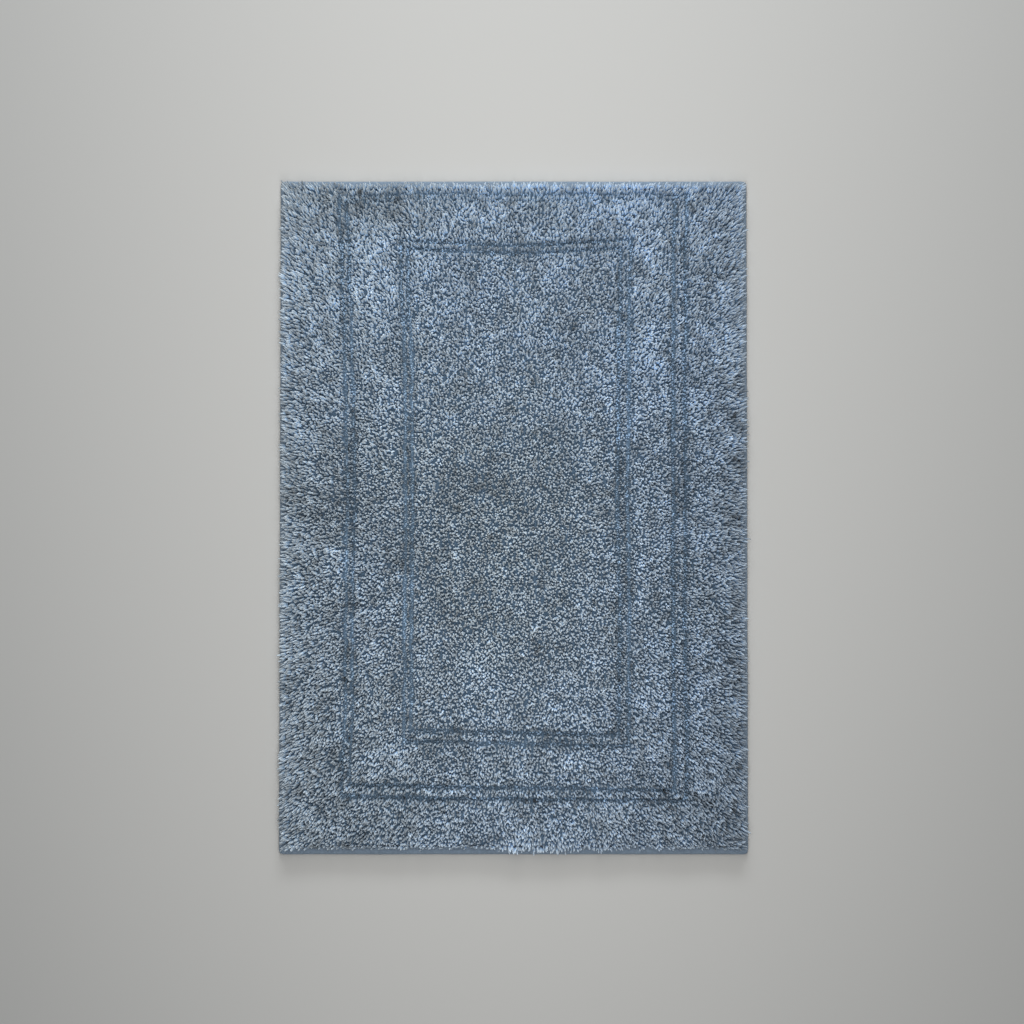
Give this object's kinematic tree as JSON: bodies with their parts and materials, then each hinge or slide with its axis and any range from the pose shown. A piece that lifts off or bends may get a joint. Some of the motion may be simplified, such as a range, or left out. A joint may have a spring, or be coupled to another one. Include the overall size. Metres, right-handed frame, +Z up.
{
  "type": "bath mat",
  "caption": "Rectangular tufted bath mat with cut pile, two sculpted rectangles of low pile in its face, a sewn tape hem and an anti-slip backing.",
  "frame": {"origin": "middle of the underside, on the surface that the mat lies on", "axes": "+Z up, +Y along the mat's length towards the side with the narrow border, +X to the right, seen from above"},
  "size_m": [0.5, 0.72, 0.0155],
  "materials": {
    "pile": "blue-grey cut pile, matt, pale at the tips and dark between the tufts",
    "ridge_pile": "the same cut pile in the narrow ridges between the sculpted lines",
    "hem_tape": "woven tape, smooth, slight sheen",
    "sewing_thread": "polyester sewing thread, slight sheen",
    "backing_cloth": "plain woven cloth, matt",
    "latex_coat": "dried latex, satin",
    "antislip_backing": "soft moulded rubber, satin",
    "care_label": "blank woven satin ribbon"
  },
  "bodies": {
    "root": {"care_label": "care_label", "antislip_backing": "antislip_backing", "latex_coat": "latex_coat", "backing_cloth": "backing_cloth", "hem_tape_left": "hem_tape", "needle_thread_left": "sewing_thread", "bobbin_thread_left": "sewing_thread", "hem_tape_right": "hem_tape", "needle_thread_right": "sewing_thread", "bobbin_thread_right": "sewing_thread", "hem_tape_top": "hem_tape", "needle_thread_top": "sewing_thread", "bobbin_thread_top": "sewing_thread", "hem_tape_bottom": "hem_tape", "needle_thread_bottom": "sewing_thread", "bobbin_thread_bottom": "sewing_thread", "border_pile_left": "pile", "border_pile_right": "pile", "border_pile_top": "pile", "border_pile_bottom": "pile", "outer_ridge_pile_left": "ridge_pile", "outer_ridge_pile_right": "ridge_pile", "outer_ridge_pile_top": "ridge_pile", "outer_ridge_pile_bottom": "ridge_pile", "band_pile_left": "pile", "band_pile_right": "pile", "band_pile_top": "pile", "band_pile_bottom": "pile", "inner_ridge_pile_left": "ridge_pile", "inner_ridge_pile_right": "ridge_pile", "inner_ridge_pile_top": "ridge_pile", "inner_ridge_pile_bottom": "ridge_pile", "centre_pile": "pile"}
  },
  "joints": []
}
